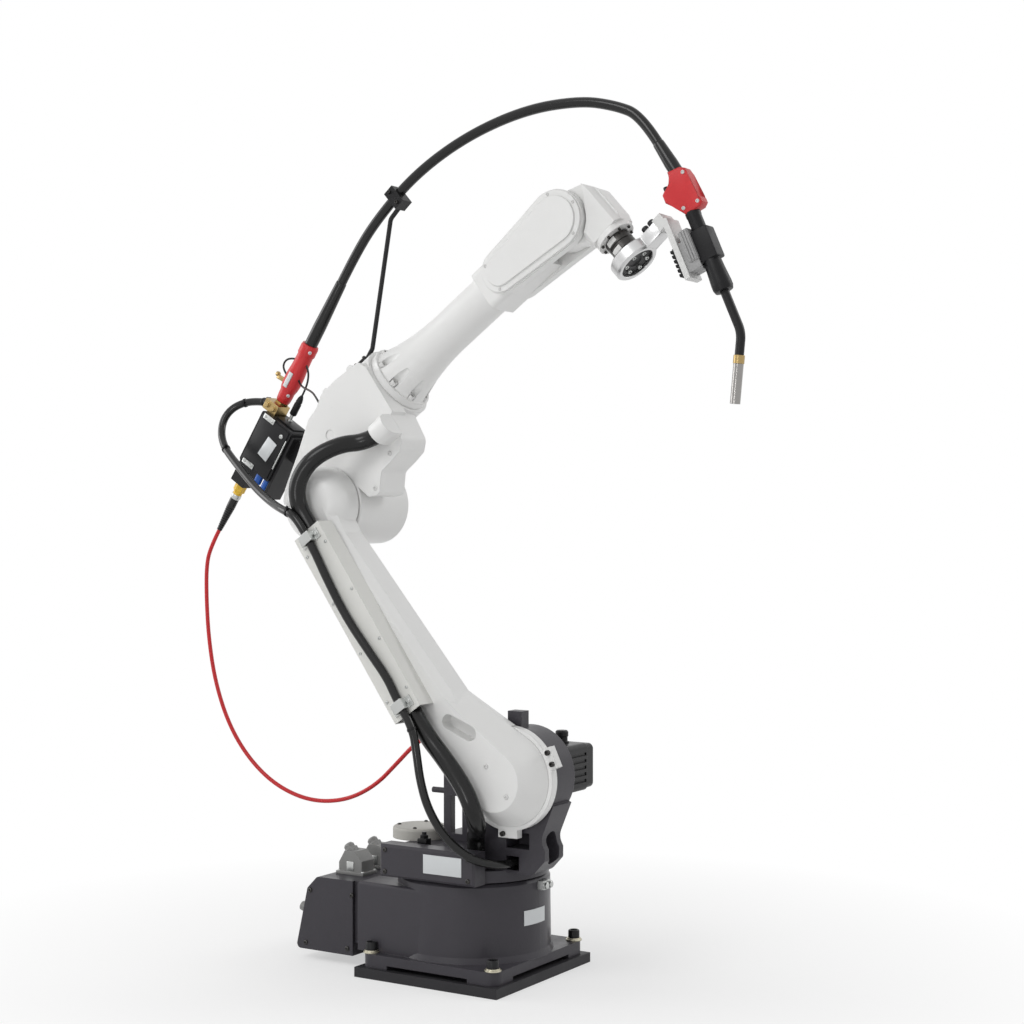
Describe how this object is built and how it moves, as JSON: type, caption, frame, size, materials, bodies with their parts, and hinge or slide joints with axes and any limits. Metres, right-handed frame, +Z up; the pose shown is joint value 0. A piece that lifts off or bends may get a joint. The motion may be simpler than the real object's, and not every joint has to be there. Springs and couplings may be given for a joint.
{
  "type": "industrial robot arm",
  "caption": "Floor-standing jointed robot arm for arc welding, with a wire feeder on its elbow, a swan-neck torch at its wrist and cables dressed along the arm.",
  "frame": {"origin": "turning axis of the base at the underside of the floor plate", "axes": "+Z up, +X the front where the torch reaches, +Y to the robot's left, away from the cable tray"},
  "size_m": [1.3426, 0.416, 1.7829],
  "materials": {
    "grey_paint": "semi-gloss charcoal paint on castings",
    "grey_plastic": "moulded grey",
    "white_paint": "semi-gloss white paint on castings",
    "sheet_paint": "light grey paint on folded sheet",
    "zinc_steel": "zinc plated",
    "black_paint": "satin black",
    "black_plastic": "moulded black",
    "black_rubber": "smooth cable jacket",
    "red_rubber": "smooth hose",
    "red_plastic": "moulded red",
    "blue_plastic": "moulded blue",
    "brass": "machined",
    "aluminium": "machined",
    "black_steel": "satin black jacket",
    "nozzle_chrome": "plated copper nozzle"
  },
  "bodies": {
    "base": {"floor_plate": "grey_paint", "base_casting": "grey_paint", "rear_box": "grey_paint", "connector_hoods": "grey_plastic", "rear_glands": "grey_plastic", "turn_stop": "zinc_steel"},
    "turret": {"turret_casting": "grey_paint", "rear_plate": "grey_paint", "turret_side_cover": "grey_paint", "turn_motor_lid": "grey_plastic", "shoulder_motor": "black_paint", "shoulder_motor_cap": "black_paint", "shoulder_conduit": "black_rubber", "shoulder_cable": "black_rubber"},
    "upper_arm": {"upper_arm_casting": "white_paint", "shoulder_ring": "white_paint", "cable_tray": "sheet_paint", "arm_conduit": "black_rubber", "tray_cable": "black_rubber", "tray_clamps": "zinc_steel", "hose_port": "zinc_steel", "elbow_conduit": "black_rubber", "power_cable": "black_rubber", "gas_hose": "red_rubber"},
    "elbow": {"elbow_casting": "white_paint", "elbow_hub_cover": "white_paint", "feeder_bracket": "black_paint", "feeder_body": "black_plastic", "feeder_motor": "black_paint", "hose_fitting": "brass", "hose_boot": "black_rubber", "air_connectors": "blue_plastic", "feeder_plugs": "black_plastic", "support_rod": "zinc_steel", "rod_clip": "black_plastic", "brass_couplings": "brass", "cable_handle": "red_plastic", "handle_boot": "black_rubber", "torch_cable_rear": "black_rubber", "torch_cable_arch": "black_rubber"},
    "forearm": {"forearm_casting": "white_paint", "side_covers": "white_paint", "torch_cable_top": "black_rubber"},
    "wrist": {"wrist_casting": "white_paint", "wrist_ring": "aluminium", "torch_cable_end": "black_rubber"},
    "tool": {"tool_flange": "black_paint", "torch_bracket": "aluminium", "torch_angle": "aluminium", "torch_clamp": "aluminium", "torch_holder": "black_plastic", "torch_shell": "red_plastic", "shell_boot": "black_rubber", "torch_neck": "black_steel", "nozzle_collar": "brass", "nozzle": "nozzle_chrome"}
  },
  "joints": [
    {"name": "turn", "type": "hinge", "parent": "base", "child": "turret", "pos_m": [0, 0, 0.206], "axis": [0, 0, 1], "range_deg": [-170, 170]},
    {"name": "shoulder", "type": "hinge", "parent": "turret", "child": "upper_arm", "pos_m": [0.15, 0, 0.42], "axis": [0, 1, 0], "range_deg": [-48, 140], "deforming": ["shoulder_conduit", "shoulder_cable"]},
    {"name": "elbow", "type": "hinge", "parent": "upper_arm", "child": "elbow", "pos_m": [-0.30957, 0, 0.96382], "axis": [0, -1, 0], "range_deg": [-60, 120], "deforming": ["elbow_conduit", "power_cable", "gas_hose"]},
    {"name": "roll", "type": "hinge", "parent": "elbow", "child": "forearm", "pos_m": [-0.19497, 0, 1.22631], "axis": [0.809, 0, 0.5878], "range_deg": [-150, 150], "deforming": ["torch_cable_arch"]},
    {"name": "bend", "type": "hinge", "parent": "forearm", "child": "wrist", "pos_m": [0.22329, 0, 1.5302], "axis": [0, -1, 0], "range_deg": [-40, 120], "deforming": ["torch_cable_top"]},
    {"name": "twist", "type": "hinge", "parent": "wrist", "child": "tool", "pos_m": [0.2664, 0, 1.56901], "axis": [0.6691, 0, -0.7431], "range_deg": [-135, 135], "deforming": ["torch_cable_end"]}
  ]
}
